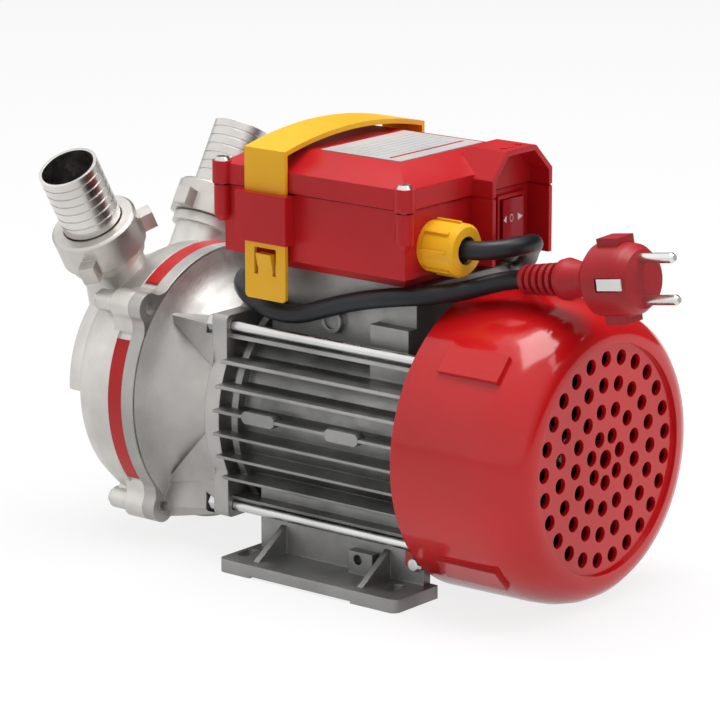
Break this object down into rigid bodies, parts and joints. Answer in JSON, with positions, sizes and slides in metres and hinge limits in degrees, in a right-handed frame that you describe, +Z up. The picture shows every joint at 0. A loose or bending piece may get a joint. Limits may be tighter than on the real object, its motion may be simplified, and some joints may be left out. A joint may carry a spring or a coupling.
{
  "type": "electric oil transfer pump",
  "caption": "Electric self-priming transfer pump with finned motor on feet, splayed hose tails, switch box, strap and mains lead.",
  "frame": {"origin": "centre of the four foot slots, on the plane that the feet stand on", "axes": "+Z up; +Y along the shaft from the fan cover to the pump; +X away from the side that carries the cable gland and the near hose tail"},
  "size_m": [0.1564, 0.3585, 0.2113],
  "materials": {
    "cast_alloy": "blasted",
    "cast_union": "blasted",
    "polished_tube": "brushed",
    "red_plastic": "gloss",
    "yellow_plastic": "satin",
    "black_plastic": "matt",
    "red_rocker": "gloss",
    "core_steel": "laminated",
    "shaft_steel": "turned",
    "copper_wire": "varnished",
    "brass_wheel": "machined",
    "plated_pins": "plated",
    "seal_rubber": "matt",
    "cord_rubber": "matt",
    "red_rubber": "satin",
    "capacitor_can": "matt",
    "pale_label": "foil"
  },
  "bodies": {
    "pump_unit": {"stator_housing": "cast_alloy", "stator_core": "core_steel", "windings": "copper_wire", "front_bearing": "shaft_steel", "rear_bearing": "shaft_steel", "rear_shield": "cast_alloy", "tie_rods": "shaft_steel", "tie_rod_nuts": "shaft_steel", "fan_cover": "red_plastic", "cover_screws": "shaft_steel", "pump_bracket": "cast_alloy", "front_casing": "cast_alloy", "casing_seal": "seal_rubber", "casing_bands": "red_plastic", "casing_bolts": "shaft_steel", "shaft_seal_seat": "shaft_steel", "port_gasket_near": "seal_rubber", "port_gasket_far": "seal_rubber", "box_base": "red_plastic", "box_lid": "red_plastic", "lid_gasket": "seal_rubber", "lid_screws": "shaft_steel", "rating_plate": "pale_label", "capacitor": "capacitor_can", "terminal_block": "black_plastic", "switch_body": "black_plastic", "gland_body": "yellow_plastic", "gland_nut": "yellow_plastic", "gland_seal": "seal_rubber", "power_cord": "cord_rubber", "plug_body": "red_rubber", "plug_pins": "plated_pins", "plug_earth_clips": "plated_pins"},
    "rotor": {"shaft": "shaft_steel", "rotor_core": "core_steel", "cooling_fan": "black_plastic", "impeller": "brass_wheel", "shaft_seal_head": "shaft_steel"},
    "rocker": {"switch_rocker": "red_rocker"},
    "strap": {"carry_strap": "yellow_plastic"},
    "near_tail": {"hose_tail_near": "polished_tube"},
    "near_nut": {"union_nut_near": "cast_union"},
    "far_tail": {"hose_tail_far": "polished_tube"},
    "far_nut": {"union_nut_far": "cast_union"}
  },
  "joints": [
    {"name": "rotor_spin", "type": "hinge", "parent": "pump_unit", "child": "rotor", "pos_m": [0, 0, 0.071], "axis": [0, 1, 0], "continuous": true},
    {"name": "switch_rock", "type": "hinge", "parent": "pump_unit", "child": "rocker", "pos_m": [0.03, -0.044, 0.1697], "axis": [0, 0, 1], "range_deg": [-8, 8]},
    {"name": "strap_lift", "type": "slide", "parent": "pump_unit", "child": "strap", "axis": [0, 0, 1], "range_m": [0, 0.005]},
    {"name": "near_tail_slide", "type": "slide", "parent": "pump_unit", "child": "near_tail", "axis": [-0.5, 0, 0.866], "range_m": [0, 0.0121]},
    {"name": "near_nut_turn", "type": "hinge", "parent": "near_tail", "child": "near_nut", "pos_m": [-0.0425, 0.1515, 0.14461], "axis": [-0.5, 0, 0.866], "range_deg": [0, 1871]},
    {"name": "far_tail_slide", "type": "slide", "parent": "pump_unit", "child": "far_tail", "axis": [0.5, 0, 0.866], "range_m": [0, 0.0121]},
    {"name": "far_nut_turn", "type": "hinge", "parent": "far_tail", "child": "far_nut", "pos_m": [0.0425, 0.1515, 0.14461], "axis": [0.5, 0, 0.866], "range_deg": [0, 1871]}
  ],
  "couplings": [
    {"joint": "near_tail_slide", "follows": "near_nut_turn", "m_per_rad": 0.0003675},
    {"joint": "far_tail_slide", "follows": "far_nut_turn", "m_per_rad": 0.0003675}
  ]
}
